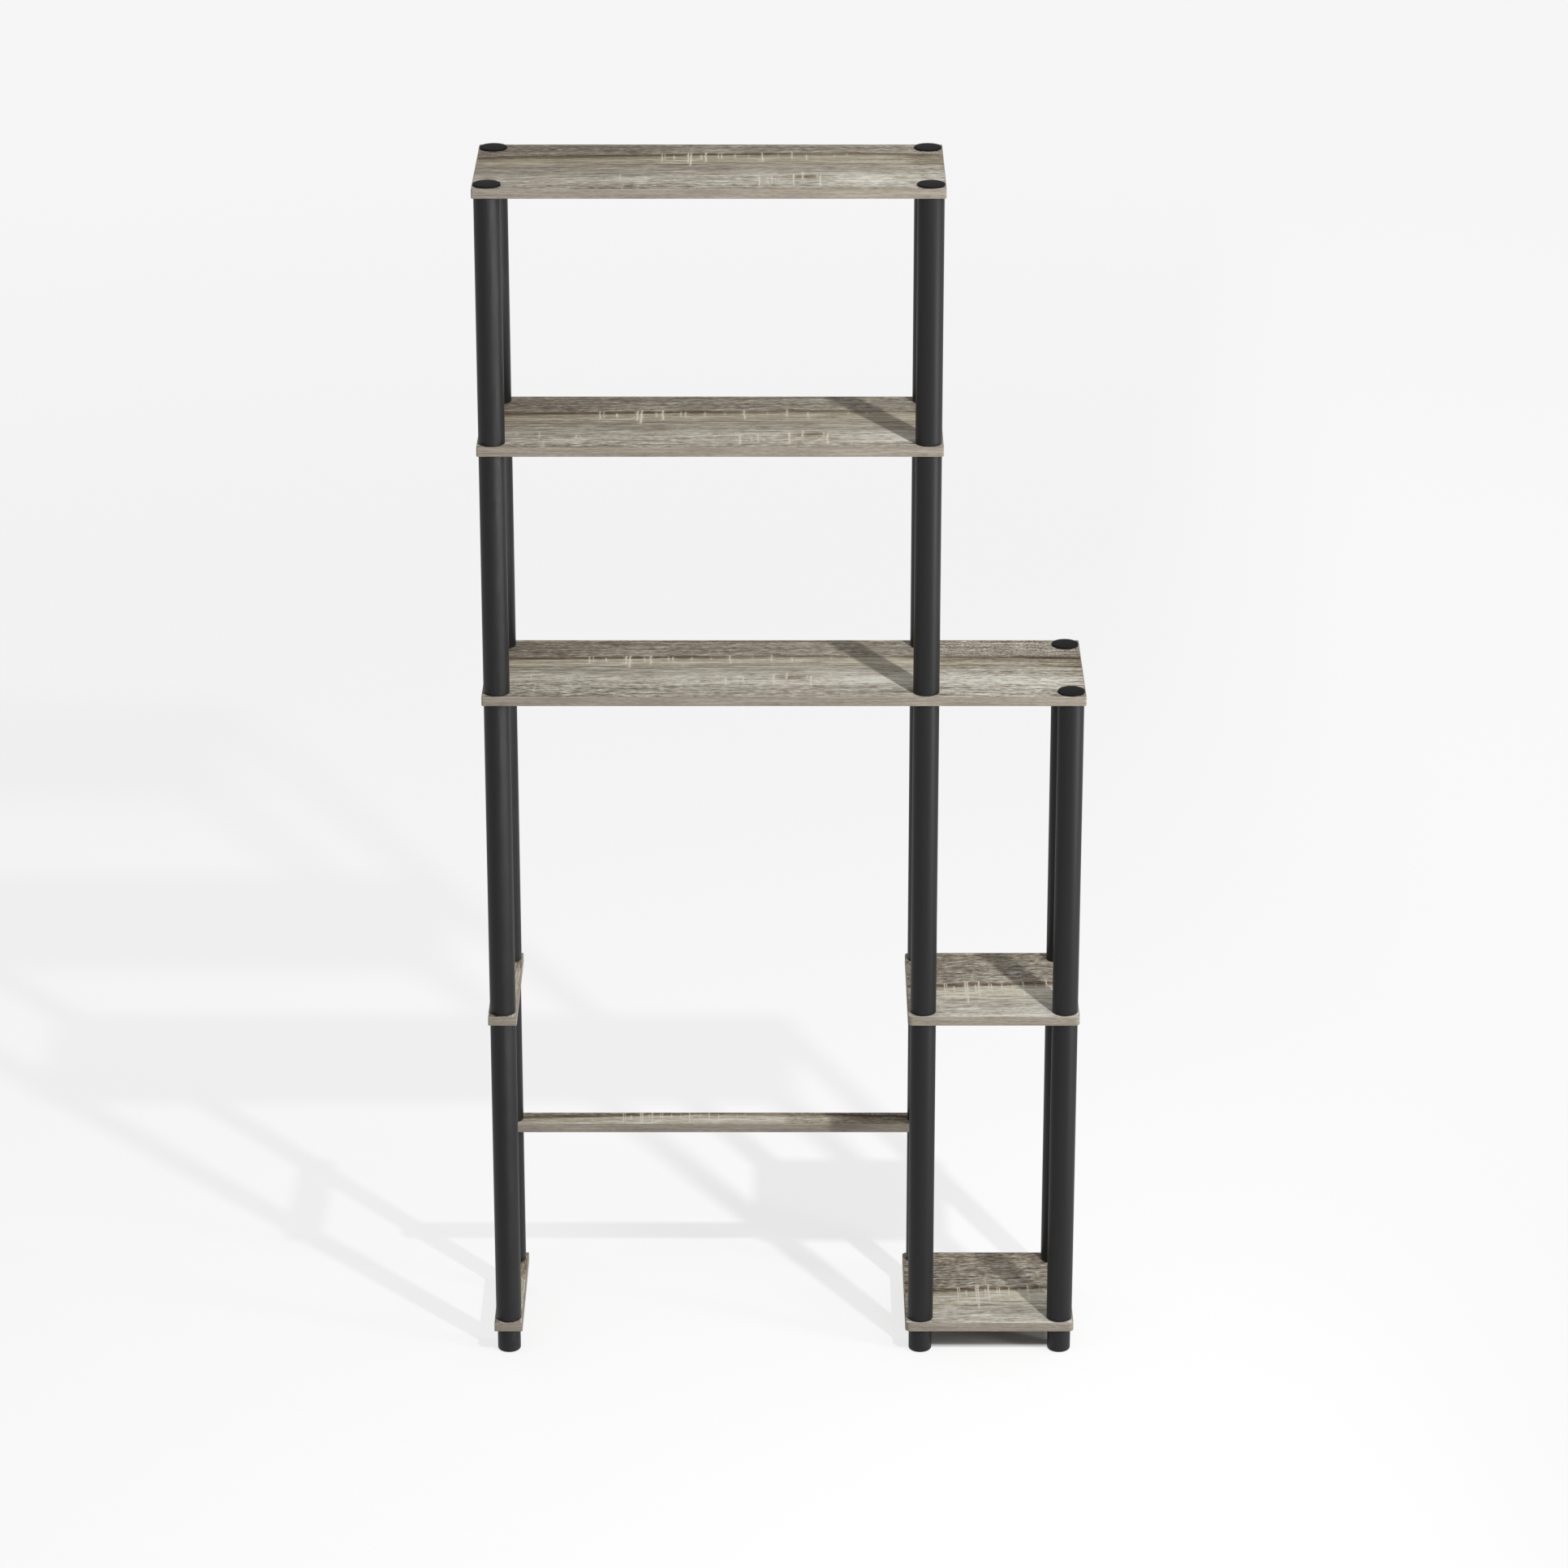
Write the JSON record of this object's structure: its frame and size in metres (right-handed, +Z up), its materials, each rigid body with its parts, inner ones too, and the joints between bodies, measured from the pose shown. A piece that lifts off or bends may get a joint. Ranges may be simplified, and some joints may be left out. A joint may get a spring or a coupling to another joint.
{
  "type": "over-the-toilet shelf",
  "caption": "Over-the-toilet shelf: wood-print boards clamped between black tubes that screw together, with a side tower, a rear stretcher, end caps and feet.",
  "frame": {"origin": "floor level, at the middle of the overall width and depth", "axes": "+Z up, +X to the right seen from the front, +Y to the back"},
  "size_m": [0.793, 0.22, 1.6499],
  "materials": {
    "shelf_print": "weathered grey-brown oak print on board, satin",
    "strip_print": "the same oak print on the narrow boards, satin",
    "tube_black": "black satin plastic",
    "stud_plastic": "dark moulded plastic, hidden",
    "cap_black": "black satin moulded plastic",
    "foot_black": "black satin moulded plastic"
  },
  "bodies": {
    "root": {"cap_front_left": "cap_black", "cap_front_middle": "cap_black", "cap_front_right": "cap_black", "cap_rear_left": "cap_black", "cap_rear_middle": "cap_black", "cap_rear_right": "cap_black", "foot_front_left": "foot_black", "foot_front_middle": "foot_black", "foot_front_right": "foot_black", "foot_rear_left": "foot_black", "foot_rear_middle": "foot_black", "foot_rear_right": "foot_black", "left_bottom_brace": "strip_print", "left_brace": "strip_print", "leg_lower_tube_rear_left": "tube_black", "leg_lower_tube_rear_middle": "tube_black", "leg_tube_front_left": "tube_black", "leg_tube_front_middle": "tube_black", "leg_tube_front_right": "tube_black", "leg_tube_rear_right": "tube_black", "leg_upper_stud_rear_left": "stud_plastic", "leg_upper_stud_rear_middle": "stud_plastic", "leg_upper_tube_rear_left": "tube_black", "leg_upper_tube_rear_middle": "tube_black", "rear_stretcher": "strip_print", "side_bottom_shelf": "shelf_print", "side_shelf": "shelf_print", "top_shelf": "shelf_print", "top_stud_front_left": "stud_plastic", "top_stud_front_middle": "stud_plastic", "top_stud_rear_left": "stud_plastic", "top_stud_rear_middle": "stud_plastic", "top_tube_front_left": "tube_black", "top_tube_front_middle": "tube_black", "top_tube_rear_left": "tube_black", "top_tube_rear_middle": "tube_black", "upper_shelf": "shelf_print", "upper_stud_front_left": "stud_plastic", "upper_stud_front_middle": "stud_plastic", "upper_stud_rear_left": "stud_plastic", "upper_stud_rear_middle": "stud_plastic", "upper_tube_front_left": "tube_black", "upper_tube_front_middle": "tube_black", "upper_tube_rear_left": "tube_black", "upper_tube_rear_middle": "tube_black", "waist_stud_front_left": "stud_plastic", "waist_stud_front_middle": "stud_plastic", "waist_stud_front_right": "stud_plastic", "waist_stud_rear_left": "stud_plastic", "waist_stud_rear_middle": "stud_plastic", "waist_stud_rear_right": "stud_plastic", "waist_tube_front_left": "tube_black", "waist_tube_front_middle": "tube_black", "waist_tube_front_right": "tube_black", "waist_tube_rear_left": "tube_black", "waist_tube_rear_middle": "tube_black", "waist_tube_rear_right": "tube_black", "wide_shelf": "shelf_print"}
  },
  "joints": []
}
